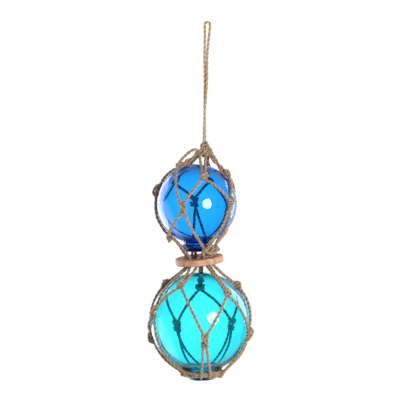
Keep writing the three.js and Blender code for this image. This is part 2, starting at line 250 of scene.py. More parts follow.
upperKnots = {
    "shoulderLeft": (-60, 63), "shoulderFront": (11, 40), "shoulderRight": (84, 47.5),
    "shoulderBackRight": (157, 40), "shoulderBackLeft": (-134, 35), "waistFront": (-18, -5),
    "waistRight": (50, 2), "waistBackRight": (124, -6), "waistBack": (-176, 3.5),
    "waistLeft": (-101, 17), "footLeft": (-82, -53),
}
sealKnots = {  # azimuth, out from the seal's edge, below the ball
    "footFront": (26, 4.4, 7), "footRight": (74, 5.6, 5), "footBackRight": (140, 5.6, 5),
    "footBackLeft": (-172, 5.6, 5),
}
lowerKnots = {
    "shoulderFrontLeft": (-33.5, 47.5), "shoulderFrontRight": (37, 38), "shoulderRight": (99, 46),
    "shoulderBack": (-178, 40.5), "shoulderLeft": (-104, 44.5), "sideLeft": (-61, 12.5),
    "waistFront": (5.5, -14.5), "waistRight": (67, -9.5), "waistBackRight": (139, -5.5),
    "waistBackLeft": (-151, -10.5), "waistLeft": (-103, -20),
}


def around(centre, azimuth, radius, height):
    angle = math.radians(azimuth)
    return centre + np.array([radius * math.sin(angle), -radius * math.cos(angle), height])


def onFloat(ball, azimuth, latitude, lift):
    distance = ball["radius"] + lift
    angle = math.radians(latitude)
    return around(ball["centre"], azimuth, distance * math.cos(angle), distance * math.sin(angle))


def besideSeal(ball, azimuth, radius, depth):
    shift = np.array([depth * math.tan(math.radians(ball["lean"])), 0, 0])
    return around(ball["centre"] + shift, azimuth, radius, -depth)


def holePoint(azimuth, height):
    angle = math.radians(azimuth)
    radius = ringSetup["hole"] / 2 - twineSetup["thickness"] * 0.6 - ringSetup["gap"]
    local = Vector((radius * math.sin(angle), -radius * math.cos(angle), height))
    return np.array(ringPlace @ local)


def turnTo(vector, axis, angle):
    return np.array(Matrix.Rotation(angle, 3, Vector(axis)) @ Vector(vector))


tautSetup = {"arcStep": 7, "nearest": 1.2}  # degrees and millimetres between two points


def tautRoute(start, end, ball, lift):  # straight, round the glass, straight
    reach = ball["radius"] + lift
    first, last = start - ball["centre"], end - ball["centre"]
    freeFirst = math.acos(min(1, reach / np.linalg.norm(first)))
    freeLast = math.acos(min(1, reach / np.linalg.norm(last)))
    arc = math.acos(unit(first) @ unit(last)) - freeFirst - freeLast
    points = [start]
    if arc > 0:
        axis = unit(np.cross(first, last))
        steps = max(1, math.ceil(math.degrees(arc) / tautSetup["arcStep"]))
        for i in range(steps + 1):
            place = turnTo(unit(first) * reach, axis, freeFirst + arc * i / steps)
            points.append(ball["centre"] + place)
    points.append(end)
    kept = [points[0]]
    for point in points[1:]:
        if np.linalg.norm(point - kept[-1]) > tautSetup["nearest"]:
            kept.append(point)
    return kept


def knotAxes(middle, ball, level=False):
    out = middle - ball["centre"]
    if level:
        out = out * np.array([1, 1, 0])
    out = unit(out)
    up = unit(zAxis - out * out[2])
    return np.cross(up, out), up, out


class Knot:  # place, way it faces and size of one knot
    def __init__(self, name, middle, ball, level=False):
        kind = next((word for word in ("shoulder", "foot") if name.startswith(word)), "waist")
        self.name, self.middle = name, middle
        self.height = knotSetup[kind + "Height"]
        self.side, self.up, self.out = knotAxes(middle, ball, level)

    def mouth(self, other, spread=1.55):  # where a cord from another place enters
        way = other - self.middle
        upward = 1 if way @ self.up > 0 else -1
        sideward = 1 if way @ self.side > 0 else -1
        (insideUp, insideOut), (edgeUp, edgeOut) = knotSetup["mouthInside"], knotSetup["mouthEdge"]
        inside = self.middle + self.up * upward * self.height * insideUp
        edge = self.middle + self.up * upward * self.height * edgeUp
        shift = self.side * sideward * spread
        return inside + shift * 0.7 + self.out * insideOut, edge + shift + self.out * edgeOut


upperPlaces = {name: Knot(name, onFloat(upperFloat, *at, knotSetup["lift"]), upperFloat)
               for name, at in upperKnots.items()}
for name, (azimuth, away, depth) in sealKnots.items():
    radius = knotSetup["sealRadius"] + away
    middle = besideSeal(upperFloat, azimuth, radius, upperFloat["radius"] + depth)
    upperPlaces[name] = Knot(name, middle, upperFloat, True)
lowerPlaces = {name: Knot(name, onFloat(lowerFloat, *at, knotSetup["lift"]), lowerFloat)
               for name, at in lowerKnots.items()}

twineLift = twineSetup["thickness"] / 2 + twineSetup["clear"]


def meshCord(skein, first, second, ball):
    startInside, startEdge = first.mouth(second.middle)
    endInside, endEdge = second.mouth(first.middle)
    route = tautRoute(startEdge, endEdge, ball, twineLift)
    full = twineSetup["thickness"] * (twineSetup["rear"] if "Back" in first.name + second.name else 1)
    skein.lay([startInside, *route, endInside], full)


# Knots
wrapSetup = {"points": 11, "taper": 0.26, "endsIn": 0.35}  # points for a turn


def tieWrap(skein, middle, axes, width, thick, height, turns, hand, tilt, start):
    side, up, out = axes
    t = np.linspace(0, 1, int(turns * wrapSetup["points"]) + 2)
    angle = start + hand * 2 * math.pi * turns * t
    swell = 1 - wrapSetup["taper"] * np.abs(2 * t - 1) ** 2.5
    cord = twineSetup["tight"]
    x = (width - cord) / 2 * swell * np.cos(angle)
    z = (thick - cord) / 2 * swell * np.sin(angle)
    y = (height - cord) * (0.5 - t) + tilt * np.cos(angle)
    route = middle + x[:, None] * side + y[:, None] * up + z[:, None] * out
    first, last = (middle + (point - middle) * wrapSetup["endsIn"] for point in (route[0], route[-1]))
    # the last argument gives the knot's middle and size, for the painted shade inside it
    skein.lay([first, *route, last], cord, None, (middle, side * 2 / width, out * 2 / thick))


def tieKnot(skein, knot, hand):
    width = knotSetup["width"] * chance.uniform(*knotSetup["uneven"])
    width *= knotSetup["rearWidth"] if "Back" in knot.name else 1
    thick = knotSetup["thick"]
    axes = (knot.side, knot.up, knot.out)
    if knot.height == knotSetup["waistHeight"]:  # two lumps
        for lump in (1, -1):
            tieWrap(skein, knot.middle + knot.up * lump * knot.height * 0.235, axes, width, thick,
                    knot.height * 0.54, 1.75, hand * lump, 1.2, 1.2 + hand * lump)
        across = [(-0.36, 0.44, 0.05), (-0.3, 0.26, 0.5), (-0.04, 0.02, 0.56), (0.3, -0.24, 0.5),
                  (0.36, -0.42, 0.05)]
    else:
        tieWrap(skein, knot.middle, axes, width * 1.04, thick, knot.height,
                (knot.height - 3) / 3.4, hand, 1.7, chance.uniform(0, 6))
        across = [(-0.42, -0.3, 0.1), (-0.3, -0.12, 0.34), (0, 0.04, 0.5), (0.3, 0.2, 0.34),
                  (0.42, 0.34, 0.1)]
    route = [knot.middle + knot.side * x * hand * width + knot.up * y * knot.height
             + knot.out * z * thick for x, y, z in across]
    skein.lay(route, twineSetup["tight"])


upperSkein, lowerSkein, knotSkein = Skein(), Skein(), Skein()

# Cords over the upper float
topKnot = {
    "middle": np.array([1.6, 0, -160.5]),
    "exits": {  # place between the two cords, how far apart they start, twist about each other
        "shoulderLeft": ((-5.5, -1.5, -5.0), 4.6, 320),
        "shoulderFront": ((-2.2, -4, -6), 8, 0),
        "shoulderRight": ((6.4, -1.5, -4.0), 4.4, 300),
        "shoulderBackRight": ((3, 4, -5), 3.3, 300),
        "shoulderBackLeft": ((-3.5, 4, -5), 3.3, 300),
    },
    "endSpread": 3.6,
    "twistLift": 1.5,
    "rootShare": 0.3,  # the cords start nearer its middle, and higher
    "rootRise": 2.5,
}
upperMeshes = [
    "shoulderLeft waistLeft", "shoulderFront waistFront", "shoulderFront waistRight",
    "shoulderRight waistRight", "shoulderRight waistBackRight",
    "shoulderBackRight waistBackRight", "shoulderBackRight waistBack",
    "shoulderBackLeft waistBack", "waistFront footLeft",
    "waistFront footFront", "waistRight footFront", "waistRight footRight",
    "waistBackRight footRight", "waistBackRight footBackRight", "waistBack footBackRight",
    "waistBack footBackLeft", "waistLeft footBackLeft", "waistLeft footLeft",
]
lowerMeshes = [
    "shoulderFrontLeft sideLeft", "shoulderFrontLeft waistFront", "shoulderFrontRight waistFront",
    "shoulderFrontRight waistRight", "shoulderRight waistRight", "shoulderRight waistBackRight",
    "shoulderBack waistBackRight", "shoulderBack waistBackLeft", "shoulderLeft waistBackLeft",
    "shoulderLeft waistLeft", "sideLeft waistLeft",
]
throughRing = [  # upper knot, azimuth at the hole's top and at its underside, lower knot
    ("footBackLeft", -145, -115, "shoulderLeft"), ("footLeft", -84, -98, "shoulderLeft"),
    ("footLeft", -66, -70, "sideLeft"), ("footLeft", -48, -50, "shoulderFrontLeft"),
    ("footFront", -4, -12, "shoulderFrontLeft"), ("footFront", 16, 33, "shoulderFrontRight"),
    ("footRight", 42, 50, "shoulderFrontRight"), ("footRight", 75, 80, "shoulderRight"),
    ("footBackRight", 115, 98, "shoulderRight"), ("footBackRight", 140, 165, "shoulderBack"),
    ("footBackLeft", -165, -178, "shoulderBack"),
]
footLegs = {  # where each knot's legs reach the cord ring round the lower seal
    "sideLeft": (-50,), "waistFront": (-2.5, 22), "waistRight": (66, 95),
    "waistBackRight": (124, 150), "waistBackLeft": (-170, -140), "waistLeft": (-112, -80),
}
footRing = {
    "radius": 24.2,
    "depth": 64.6,
    "turns": 2.9,
    "widen": 1.6,
    "rise": 2.9,
    "weave": (2.3, 0.5, 0.6),  # waves in a turn, outwards, up
    "apart": 1.75,             # two legs of one knot from their middle
    "hook": [(2.9, 0.6), (1.8, -2.6), (-1.6, -2.6), (-2.6, 0.6)],  # outwards, up
    "knots": (-58, -20, 34, 110, 160, -140),
    "wrap": (8.6, 9.2, 8.6, 2, 1, 0.8, 1),
}
archPoints = [
    (11, 86, 15.5), (-26, 83, 18.7), (-39, 77, 17.2), (-45, 69, 13.8), (-47, 61, 10.6),
    (-46, 52, 7.4), (-38, 37, 3.4), (-31, 21, 2.9), (-24, 5, 3.2),
]
slackPoints = [  # the one slack cord of the net
    (-133, 31, 2.6), (-131, 24, 2.2), (-127, 14, 2.2), (-120, 6, 2.2), (-112, 3, 2.2), (-104, 8, 2.4),
    (-98, 14, 2.8),
]
stubs = [
    ("upper", "shoulderLeft", (-1, -0.25, 0.05)), ("upper", "shoulderFront", (0.95, -0.35, 0.15)),
    ("upper", "shoulderRight", (0.55, -0.6, -0.3)), ("upper", "waistLeft", (-0.2, -0.6, -0.8)),
    ("upper", "footLeft", (-0.1, -0.2, -1)), ("lower", "shoulderFrontLeft", (-0.9, -0.5, -0.1)),
    ("lower", "shoulderRight", (0.6, -0.5, -0.6)), ("lower", "shoulderLeft", (-0.6, -0.3, -0.75)),
    ("lower", "waistRight", (0.1, -0.5, -0.85)), ("lower", "waistLeft", (-0.15, -0.4, -0.9)),
]


def footSpot(azimuth):  # a place on the cord ring round the lower seal, and the way out from it
    spot = besideSeal(lowerFloat, azimuth, footRing["radius"], footRing["depth"])
    return spot, unit(spot - besideSeal(lowerFloat, 0, 0, footRing["depth"]))


for name, ((x, y, z), spread, twist) in topKnot["exits"].items():
    start = topKnot["middle"] + np.array([x, y, z])
    inside, edge = upperPlaces[name].mouth(start, 0)
    lift = twineLift + (topKnot["twistLift"] if twist else 0)
    middleLine = smoothLine(tautRoute(start, edge, upperFloat, lift), 5)
    sideways = unit(np.cross(edge - start, start - upperFloat["centre"]))
    share = np.linspace(0, 1, len(middleLine))[:, None]
    angles = np.radians(twist) * share
    outward = np.array([unit(point - upperFloat["centre"]) for point in middleLine])
    width = spread + (topKnot["endSpread"] - spread) * share
    root = np.array([x * topKnot["rootShare"], y * topKnot["rootShare"], topKnot["rootRise"]])
    for half in (-0.5, 0.5):
        offset = (sideways * np.cos(angles) + outward * np.sin(angles)) * width * half
        upperSkein.lay([topKnot["middle"] + root, *(middleLine + offset), inside + offset[-1] * 0.5])
arch = [onFloat(upperFloat, *point) for point in archPoints]
inside, edge = upperPlaces["waistFront"].mouth(arch[-1])
upperSkein.lay([topKnot["middle"] + np.array([0.5, -1, 1]), *arch, inside])
for pair in upperMeshes:
    first, second = (upperPlaces[name] for name in pair.split())
    meshCord(upperSkein, first, second, upperFloat)
slack = [onFloat(upperFloat, *point) for point in slackPoints]
upperSkein.lay([upperPlaces["shoulderBackLeft"].middle, *slack, upperPlaces["waistLeft"].middle])
for pair in lowerMeshes:
    first, second = (lowerPlaces[name] for name in pair.split())
    meshCord(lowerSkein, first, second, lowerFloat)
mouthHeight = ringSetup["thickness"] / 2 + ringSetup["gap"]
for upper, topAzimuth, lowAzimuth, lower in throughRing:
    top, low = holePoint(topAzimuth, mouthHeight), holePoint(lowAzimuth, -mouthHeight)
    between = holePoint((topAzimuth + lowAzimuth) / 2, 0)
    inside, edge = lowerPlaces[lower].mouth(low)
    below = tautRoute(low, edge, lowerFloat, twineLift)
    lowerSkein.lay([*upperPlaces[upper].mouth(top), top, between, *below, inside])
ringWays = []
waves, weaveOut, weaveUp = footRing["weave"]
for share in np.linspace(-1, 1, 60):
    azimuth = share * 180 * footRing["turns"]
    weave = math.sin(math.radians(azimuth) * waves)
    radius = footRing["radius"] + footRing["widen"] * share + weaveOut * weave
    depth = footRing["depth"] - footRing["rise"] * share + weaveUp * weave
    ringWays.append(besideSeal(lowerFloat, azimuth, radius, depth))
lowerSkein.lay(ringWays)
for name, azimuths in footLegs.items():
    knot = lowerPlaces[name]
    for i, azimuth in enumerate(azimuths):
        end, outward = footSpot(azimuth)
        inside, edge = knot.mouth(end, 0)
        apart = 0 if len(azimuths) == 1 else footRing["apart"] * (1 if i else -1)
        shift = knot.side * (-apart if name == "waistBackLeft" else apart)
        hook = [end + outward * out + zAxis * up for out, up in footRing["hook"]]
        route = tautRoute(edge + shift, hook[0], lowerFloat, twineLift)
        lowerSkein.lay([inside + shift * 0.6, *route, *hook[1:]])
print("net cords laid")

# Knots of the net
for i, (name, knot) in enumerate([*upperPlaces.items(), *lowerPlaces.items()]):
    tieKnot(knotSkein, knot, 1 if i % 2 else -1)
for which, name, way in stubs:
    knot = (upperPlaces if which == "upper" else lowerPlaces)[name]
    tip = knot.middle + unit(way) * knotSetup["stub"]
    bent = knot.middle + unit(way) * knotSetup["stub"] * 0.55 + knot.out * 0.6
    knotSkein.lay([knot.middle, bent, tip])
for azimuth in footRing["knots"]:
    middle, outward = footSpot(azimuth)
    side = unit(np.cross(zAxis, outward))
    tieWrap(knotSkein, middle, (outward, side, zAxis), *footRing["wrap"])

# A second hitch above the rear knot of the lower float
rearHitch = {"at": (-178, 56.5), "wrap": (11.4, 7.4, 12, 2.2, 1, 1.3, 0.4)}
middle = onFloat(lowerFloat, *rearHitch["at"], knotSetup["lift"])
tieWrap(knotSkein, middle, knotAxes(middle, lowerFloat), *rearHitch["wrap"])

# Gathering knot
gatherWraps = [  # place from the knot's middle, width, thickness, height, turns, hand, tilt, lean
    ((-0.4, 0, 5.0), 11.6, 10.2, 8.6, 1.9, 1, 0.7, -4),
    ((0.2, 0, -0.2), 14.4, 12.6, 9.0, 1.7, -1, 1.8, 8),
    ((-0.6, 0, -5.2), 14.6, 12.8, 8.4, 1.6, 1, 1.6, -10),
    ((5.6, -1.4, -2.6), 9.4, 9.2, 11.4, 2.4, -1, 1.0, -38),
    ((-6.4, -1.8, -4.6), 10.0, 9.2, 10.6, 2.2, 1, 1.0, 48),
]
for place, width, thick, height, turns, hand, tilt, lean in gatherWraps:
    turned = Matrix.Rotation(math.radians(lean), 3, "Y")
    axes = [np.array(turned @ Vector(axis)) for axis in ((1, 0, 0), (0, 0, 1), (0, -1, 0))]
    tieWrap(knotSkein, topKnot["middle"] + np.array(place), axes, width, thick, height, turns, hand,
            tilt, chance.uniform(0, 6))
gatherStrands = [
    [(0.5, -2, 3.5), (4.4, -3.6, 3.2), (7.8, -3.2, -0.6), (9.8, -2.4, -5.4), (13.4, -1.6, -10.6)],
    [(0, -2, 3), (-3.6, -5.2, 0.4), (-6.4, -5.4, -4.4), (-10.2, -4, -8.6), (-14.2, -3.2, -10.6)],
    [(-1.2, -2.5, 10), (-2.4, -4.6, 5), (-1.2, -6.3, 0), (1.8, -6.6, -4), (4.6, -5.2, -8)],
    [(2.4, -2.2, 9.5), (3.6, -4.2, 4), (1.6, -6.4, -1), (-2.2, -6.4, -5), (-5.4, -4.2, -8)],
    [(1.6, 2.2, 9.5), (3.6, 4.8, 3), (1.6, 6.4, -2), (-2.6, 6.2, -7)],
    [(-1.0, 2.4, 9.5), (-3.2, 4.8, 3), (-1.0, 6.2, -2), (3.4, 5.8, -7)],
]
for strand in gatherStrands:
    knotSkein.lay([topKnot["middle"] + np.array(point) for point in strand])

# Tangle of ends beside the upper seal, where the front cords are tied down
tangle = [
    [(6.4, -23.5, -290), (9.6, -24.6, -286.6), (11.0, -24.6, -282.4), (13.6, -24.2, -280.8),
     (16.2, -23.4, -283), (16.4, -22.8, -286.2), (13.8, -22.6, -288.4), (11.2, -22.4, -290.6),
     (10.8, -19, -295)],
    [(4.6, -24, -286), (7.6, -26, -288.6), (11.4, -25, -291), (15.6, -22.6, -291.4),
     (19.4, -18, -289.4), (21.6, -13.6, -286)],
    [(18.4, -14.8, -284.6), (15.6, -18.6, -288), (12.2, -20.4, -291.6), (7.4, -17.4, -297)],
    [(8.6, -24.4, -284.8), (5.2, -25.2, -289.4), (4.8, -22, -294), (5.6, -17, -298)],
    [(20.6, -11, -284), (19.6, -14.4, -289.4), (15.4, -14.6, -294), (12.6, -12.6, -298)],
]
for strand in tangle:
    knotSkein.lay(strand)
print("knots tied")

netPieces = [upperSkein.piece("upper_net_cords"), lowerSkein.piece("lower_net_cords"),
             knotSkein.piece("net_knots")]
for piece in netPieces:
    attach(piece, "root")
    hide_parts("net")


# Loose fibres that stand off the twine
fuzzSetup = {
    "every": 1.1,
    "length": (1.6, 4.4),
    "radius": 0.055,
    "rooted": 0.38,         # in parts of the twine's thickness
    "outward": (0.25, 1.0),
    "stray": 0.25,
    "bend": 0.35,
    "nearGlass": 9,         # a hair this near the glass keeps at least this slope off it
    "offGlass": 0.1,
}


def growFuzz(skeins, name):
    setup = fuzzSetup
    roots, ways, lengths = [], [], []
    for skein in skeins:
        for line, along, side, across, thickness in skein.lines:
            count = max(2, round(len(line) * twineSetup["step"] / setup["every"]))
            picks = chance.integers(0, len(line), count)
            angles = chance.uniform(0, 2 * math.pi, count)[:, None]
            outward = side[picks] * np.cos(angles) + across[picks] * np.sin(angles)
            sign = chance.choice([-1, 1], count)[:, None]
            roots.append(line[picks] + outward * thickness * setup["rooted"])
            ways.append(outward * chance.uniform(*setup["outward"], (count, 1)) + along[picks] * sign
                        + chance.normal(0, setup["stray"], (count, 3)))
            lengths.append(chance.uniform(*setup["length"], count))
    roots, ways, lengths = np.concatenate(roots), np.concatenate(ways), np.concatenate(lengths)
    ways /= np.linalg.norm(ways, axis=1)[:, None]
    for ball in (upperFloat, lowerFloat):  # a hair that would run into the glass lies along it
        out = roots - ball["centre"]
        out /= np.linalg.norm(out, axis=1)[:, None]
        near = np.linalg.norm(roots - ball["centre"], axis=1) < ball["radius"] + setup["nearGlass"]
        dive = np.einsum("ij,ij->i", ways, out)
        turnBack = near & (dive < setup["offGlass"])
        ways[turnBack] -= out[turnBack] * (dive[turnBack] - setup["offGlass"])[:, None]
    bend = chance.normal(0, setup["bend"], ways.shape)
    first = np.cross(ways, bend)
    first /= np.linalg.norm(first, axis=1)[:, None]
    second = np.cross(ways, first)
    rings = []
    for share in (0, 0.35, 0.7, 1):
        centre = roots + ways * (lengths * share)[:, None] + bend * (lengths * share**2)[:, None] * 0.6
        radius = setup["radius"] * (1 - 0.7 * share)
        for k in range(3):
            angle = 2 * math.pi * k / 3
            rings.append(centre + (first * math.cos(angle) + second * math.sin(angle)) * radius)
    corners = np.stack(rings, axis=1).reshape(-1, 3)
    base = np.arange(len(roots))[:, None] * 12
    quads = []
    for row in range(3):
        for k in range(3):
            low, high = row * 3 + k, row * 3 + (k + 1) % 3
            quads.append(base + np.array([[low, high, high + 3, low + 3]]))
    mesh = bpy.data.meshes.new(name)
    mesh.from_pydata((corners * mm).tolist(), [], np.concatenate(quads).tolist())
    return showMesh(mesh)


netFuzz = growFuzz([upperSkein, lowerSkein, knotSkein], "net_fuzz")
loopFuzz = growFuzz([loopSkein], "loop_fuzz")
for piece, node in ((netFuzz, "net"), (loopFuzz, "hanging_loop")):
    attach(piece, "root")
print("fibres grown")


# Glass floats: a blown shell, thicker at the foot, with the solid button that seals it
floatSetup = {
    "wall": 4.2,
    "footWall": 1.5,      # more of it inside the foot
    "footSpread": 19,     # degrees
    "footStep": 0.9,
    "steps": 144,
    "rows": 84,
    "pocket": (14.7, 2.1, -1.1),  # air trapped in the neck of the seal: radius, half height, place
    "pocketEdge": 1,
    "bubbles": (16, 14),  # in the seal and in the wall
    "bubbleSize": (0.28, 0.75),
    "sealBubbles": (15, (4.2, 7.9)),  # how far out, how deep below the ball
    "wallBubbles": (-0.85, 0.9),      # how high up the ball, in parts of its radius
    "neck": 17.2,         # where the ball's outside starts
    "sealProfile": [      # radius, height over the ball's lowest point
        (0, -8.9), (8, -9.1), (12.8, -9.6), (15.2, -9.3), (16.6, -8.2), (18.4, -5.2), (19.5, -3.4),
        (19.7, -2.2), (19.1, -1.3), (17.7, -0.7), (16.6, -0.1), (16.3, 0.9),
    ],
}


def spinProfile(form, profile, steps):
    corners = [form.verts.new((radius, 0, height)) for radius, height in profile]
    edges = [form.edges.new(pair) for pair in zip(corners, corners[1:])]
    before = set(form.faces)
    bmesh.ops.spin(form, geom=corners + edges, cent=(0, 0, 0), axis=(0, 0, 1), dvec=(0, 0, 0),
                   angle=2 * math.pi, steps=steps, use_merge=True, use_normal_flip=False,
                   use_duplicate=False)
    bmesh.ops.remove_doubles(form, verts=form.verts, dist=0.0005)
    faces = [face for face in form.faces if face not in before]
    bmesh.ops.recalc_face_normals(form, faces=faces)


def blowFloat(name, node, ball):
    setup = floatSetup
    radius = ball["radius"]
    form = bmesh.new()
    outer = [(x, z - radius) for x, z in setup["sealProfile"]]
    footRows = len(outer) + 2
    for t in np.linspace(math.asin(setup["neck"] / radius), math.pi, setup["rows"]):
        outer.append((radius * math.sin(t), -radius * math.cos(t)))
    foot = smoothLine([(x, 0, z) for x, z in outer[:footRows]], setup["footStep"])
    outer = [(x, z) for x, _, z in foot] + outer[footRows:]
    outer[-1] = (0, radius)
    spinProfile(form, outer, setup["steps"])
    inner = []
    for t in np.linspace(0, math.pi, setup["rows"]):
        near = math.exp(-(math.degrees(t) / setup["footSpread"]) ** 2)
        reach = radius - (setup["wall"] + setup["footWall"] * near)
        inner.append((reach * math.sin(t), -reach * math.cos(t)))
    inner[0], inner[-1] = (0, inner[0][1]), (0, inner[-1][1])
    air = bmesh.new()
    inSeal, inWall = setup["bubbles"]
    sealReach, sealDepth = setup["sealBubbles"]
    wallMiddle = radius - setup["wall"] / 2
    for i in range(inSeal + inWall):
        turn, size = chance.uniform(0, 2 * math.pi), chance.uniform(*setup["bubbleSize"])
        if i < inSeal:
            out = sealReach * math.sqrt(chance.uniform(0, 1))
            height = -radius - chance.uniform(*sealDepth)
        else:
            tip = math.acos(chance.uniform(*setup["wallBubbles"]))
            out, height = wallMiddle * math.sin(tip), wallMiddle * math.cos(tip)
        at = Matrix.Translation((out * math.cos(turn), out * math.sin(turn), height))
        bmesh.ops.create_uvsphere(air, u_segments=10, v_segments=6, radius=size, matrix=at)
    wide, half, height = setup["pocket"]
    edge = setup["pocketEdge"]
    pocket = [(0, half), (wide - edge, half), (wide - edge * 0.3, half - edge * 0.3),
              (wide, half - edge)]
    pocket += [(x, -z) for x, z in reversed(pocket)]
    spinProfile(air, [(x, z + height - radius) for x, z in pocket], 72)
    cavity = bmesh.new()
    spinProfile(cavity, inner, setup["steps"])
    for hollow in (air, cavity):
        bmesh.ops.reverse_faces(hollow, faces=hollow.faces)
        part = bpy.data.meshes.new(name + "_hollow")
        hollow.to_mesh(part)
        hollow.free()
        form.from_mesh(part)
        bpy.data.meshes.remove(part)
    place = (Matrix.Scale(mm, 4) @ Matrix.Translation(Vector(ball["centre"]))
             @ Matrix.Rotation(-math.radians(ball["lean"]), 4, "Y"))
    bmesh.ops.transform(form, matrix=place, verts=form.verts)
    made = showForm(form, name)
    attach(made, "root")
    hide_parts(node)
    return made


upperGlass = blowFloat("upper_glass_ball", "upper_float", upperFloat)
lowerGlass = blowFloat("lower_glass_ball", "lower_float", lowerFloat)
print("floats blown")


# Wooden ring
def turnRing():
    setup = ringSetup
    inner, outer, half = setup["hole"] / 2, setup["outer"] / 2, setup["thickness"] / 2
    form = bmesh.new()
    profile = [(inner, -half), (outer, -half), (outer, half), (inner, half), (inner, -half)]
    spinProfile(form, profile, 96)
    rims = [edge for edge in form.edges if edge.is_manifold and edge.calc_face_angle() > 1
            and abs(edge.verts[0].co.z - edge.verts[1].co.z) < 0.01]
    bmesh.ops.bevel(form, geom=rims, offset=setup["edge"], offset_type="OFFSET", segments=5,
                    profile=0.5, affect="EDGES", material=-1, clamp_overlap=True)
    bmesh.ops.transform(form, matrix=Matrix.Scale(mm, 4) @ ringPlace, verts=form.verts)
    made = showForm(form, "turned_ring")
    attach(made, "root")
    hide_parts("wood_ring")
    return made


ringPiece = turnRing()
print("ring turned")


# Materials
class Wire:  # a socket that takes part in sums
    def __init__(self, bench, socket):
        self.bench, self.socket = bench, socket

    def __add__(self, other):
        return self.bench.maths("ADD", self, other)

    def __sub__(self, other):
        return self.bench.maths("SUBTRACT", self, other)

    def __rsub__(self, other):
        return self.bench.maths("SUBTRACT", other, self)

    def __mul__(self, other):
        return self.bench.maths("MULTIPLY", self, other)

    __radd__, __rmul__ = __add__, __mul__


class Bench:  # the nodes of one material, or of the surroundings
    def __init__(self, owner):
        owner.use_nodes = True
        self.owner, self.tree = owner, owner.node_tree
        self.tree.nodes.clear()

    def put(self, kind, settings=None, sockets=None, out=None):
        node = self.tree.nodes.new("ShaderNode" + kind)
        for name, value in (settings or {}).items():
            if name == "stops":
                while len(node.color_ramp.elements) < len(value):
                    node.color_ramp.elements.new(0.5)
                for stop, (place, colour) in zip(node.color_ramp.elements, value):
                    stop.position, stop.color = place, (*colour, 1)
            else:
                setattr(node, name, value)
        for name, value in (sockets or {}).items():
            socket = next(s for s in node.inputs if s.name == name and s.enabled)
            if isinstance(value, Wire):
                self.tree.links.new(value.socket, socket)
            else:
                socket.default_value = value
        if kind.startswith("Output"):
            return node
        picked = [s for s in node.outputs if s.enabled and (out is None or s.name == out)]
        return Wire(self, picked[0])

    def maths(self, how, *values):
        node = self.tree.nodes.new("ShaderNodeMath")
        node.operation = how
        for socket, value in zip(node.inputs, values):
            if isinstance(value, Wire):
                self.tree.links.new(value.socket, socket)
            else:
                socket.default_value = value
        return Wire(self, node.outputs[0])

    def where(self):
        return self.put("TexCoord", None, None, "Object")

    def noise(self, vector, scale, detail=3, roughness=0.55):
        return self.put("TexNoise", None, {"Vector": vector, "Scale": scale, "Detail": detail,
                                           "Roughness": roughness}, "Fac")

    def noises(self, vector, table):
        return [self.noise(self.scaled(vector, by), *rest) for by, *rest in table]

    def scaled(self, vector, by):
        node = self.tree.nodes.new("ShaderNodeVectorMath")
        node.operation = "MULTIPLY"
        self.tree.links.new(vector.socket, node.inputs[0])
        node.inputs[1].default_value = by
        return Wire(self, node.outputs[0])

    def blend(self, share, first, second):
        return self.put("Mix", {"data_type": "RGBA"}, {"Factor": share, "A": first, "B": second},
                        "Result")

    def spread(self, value, low, high, toLow=0.0, toHigh=1.0):
        return self.put("MapRange", {"clamp": True}, {"Value": value, "From Min": low, "From Max": high,
                                                      "To Min": toLow, "To Max": toHigh})

    def bump(self, height, strength, distance):
        return self.put("Bump", None, {"Height": height, "Strength": strength,
                                       "Distance": distance}, "Normal")

    def principled(self, sockets):
        return self.put("BsdfPrincipled", None, sockets, "BSDF")

    def finish(self, shader, volume=None):
        sockets = {"Surface": shader}
        if volume:
            sockets["Volume"] = volume
        self.put("OutputMaterial", None, sockets)
        return self.owner


juteFinish = {
    # the darkest fibres, and also the colour of the painted shade in the ply grooves and inside knots
    "shadow": (0.095, 0.047, 0.024),
    "middle": (0.32, 0.196, 0.110),
    "light": (0.55, 0.385, 0.245),
    "grey": (0.215, 0.148, 0.095),
    "noises": [  # streaks, strands and patches: stretch, scale, detail, roughness
        ((1.0, 1.0, 0.16), 3.6, 4, 0.62),
        ((1.0, 1.0, 0.05), 1.6, 2, 0.5),
        ((0.3, 0.3, 0.11), 1.0, 2, 0.5),
    ],
    "rough": 0.86,
    "bump": 0.00035,
}


def makeJute():
    bench, setup = Bench(bpy.data.materials.new("jute")), juteFinish
    fibre = bench.put("Attribute", {"attribute_name": "fibre"}, None, "Vector")
    shade = bench.put("Attribute", {"attribute_name": "shade"}, None, "Vector")
    split = bench.put("SeparateXYZ", None, {"Vector": shade}, "X")
    node = split.socket.node
    crown, tone = Wire(bench, node.outputs["X"]), Wire(bench, node.outputs["Y"])
    streaks, strands, patches = bench.noises(fibre, setup["noises"])
    mix = bench.spread(streaks * 0.62 + strands * 0.38, 0.30, 0.70)
    ramp = bench.put("ValToRGB", {"stops": [(0, setup["shadow"]), (0.42, setup["middle"]),
                                            (1, setup["light"])]}, {"Fac": mix}, "Color")
    greyer = bench.spread(patches + tone * 0.4, 0.5, 1.05, 0, 0.75)
    colour = bench.blend(greyer, ramp, (*setup["grey"], 1))
    colour = bench.blend(bench.spread(tone, 0, 0.3, 0.4, 0), colour, (*setup["light"], 1))
    # painted shade: the grooves between the plies and the insides of knots are darkened towards the
    # darkest colour
    valleyShade = bench.spread(crown, 0.55, 0.97, 1.0, 0.0)
    colour = bench.blend(valleyShade * 0.6, colour, (*setup["shadow"], 1))
    bump = bench.bump(streaks * 0.7 + strands * 0.5, 0.9, setup["bump"])
    return bench.finish(bench.principled({
        "Base Color": colour, "Roughness": setup["rough"], "Normal": bump, "Sheen Weight": 0.25,
        "Sheen Roughness": 0.5, "Specular IOR Level": 0.25,
    }))


fuzzFinish = {"dark": (0.30, 0.18, 0.10), "light": (0.62, 0.44, 0.29), "rough": 0.8}


